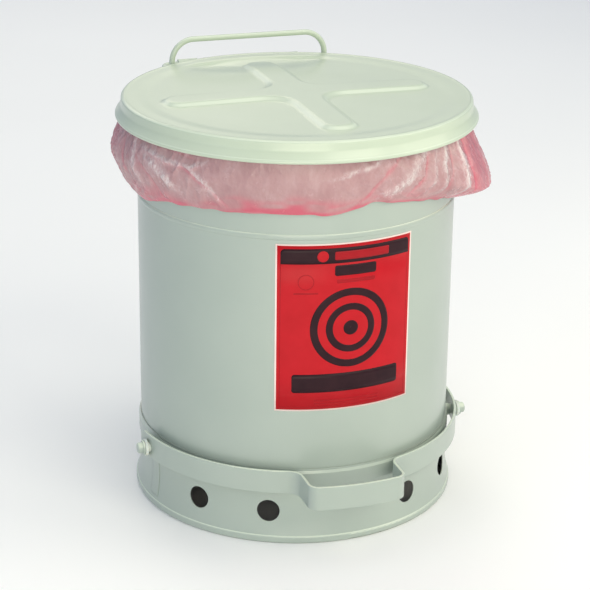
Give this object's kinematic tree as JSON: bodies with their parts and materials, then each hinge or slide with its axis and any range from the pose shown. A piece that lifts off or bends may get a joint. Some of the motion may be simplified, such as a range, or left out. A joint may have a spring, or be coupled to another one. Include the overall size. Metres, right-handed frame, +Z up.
{
  "type": "pedal waste bin",
  "caption": "Round steel waste can with a domed-edge flat lid hinged at the back, a hoop pedal round its base that lifts the lid, a vented base, a front label and a thin red liner bag.",
  "frame": {"origin": "centre of the footprint on the floor, which is on the can's axis; the tread reaches as far in front as the hinge does behind", "axes": "+Z up along the can's axis, -Y towards the front with the label and tread, +X to the right"},
  "size_m": [0.3599, 0.3914, 0.4153],
  "materials": {
    "white_enamel": "satin powder coat",
    "zinc_steel": "zinc plated",
    "bushing_nylon": "matte",
    "label_print": "printed vinyl",
    "liner_film": "thin translucent film"
  },
  "bodies": {
    "can": {"can_body": "white_enamel", "rim_wire": "white_enamel", "raised_bottom": "white_enamel", "base_skirt": "white_enamel", "base_hem_wire": "white_enamel", "hinge_bracket": "white_enamel", "bracket_rivets": "white_enamel", "rod_guide": "white_enamel", "pivot_bolt_left": "white_enamel", "pivot_bolt_right": "white_enamel", "pivot_washer_left": "white_enamel", "pivot_washer_right": "white_enamel", "pivot_spacer_left": "white_enamel", "pivot_spacer_right": "white_enamel", "pivot_nut_left": "zinc_steel", "pivot_nut_right": "zinc_steel", "label_film": "label_print", "liner_bag": "liner_film"},
    "lid": {"lid_shell": "white_enamel", "lid_hem_wire": "white_enamel", "lid_bail": "white_enamel", "hinge_leaf_left": "white_enamel", "hinge_leaf_right": "white_enamel", "hinge_clips": "zinc_steel", "lift_ear": "white_enamel"},
    "pedal": {"pedal_band": "white_enamel", "pedal_link_tab": "white_enamel", "pivot_bushing_left": "bushing_nylon", "pivot_bushing_right": "bushing_nylon"},
    "rod": {"lift_rod": "zinc_steel", "rod_clips": "zinc_steel"}
  },
  "joints": [
    {"name": "lid_hinge", "type": "hinge", "parent": "can", "child": "lid", "pos_m": [0, 0.19075, 0.3785], "axis": [-1, 0, 0], "range_deg": [0, 58]},
    {"name": "pedal_hinge", "type": "hinge", "parent": "can", "child": "pedal", "pos_m": [0, -0.035, 0.064], "axis": [1, 0, 0], "range_deg": [0, 6.58]},
    {"name": "rod_slide", "type": "slide", "parent": "can", "child": "rod", "axis": [0, 0, 1], "range_m": [0, 0.02328]}
  ],
  "couplings": [
    {"joint": "pedal_hinge", "follows": "lid_hinge", "ratio": 0.11335},
    {"joint": "rod_slide", "follows": "lid_hinge", "m_per_rad": 0.022988}
  ]
}
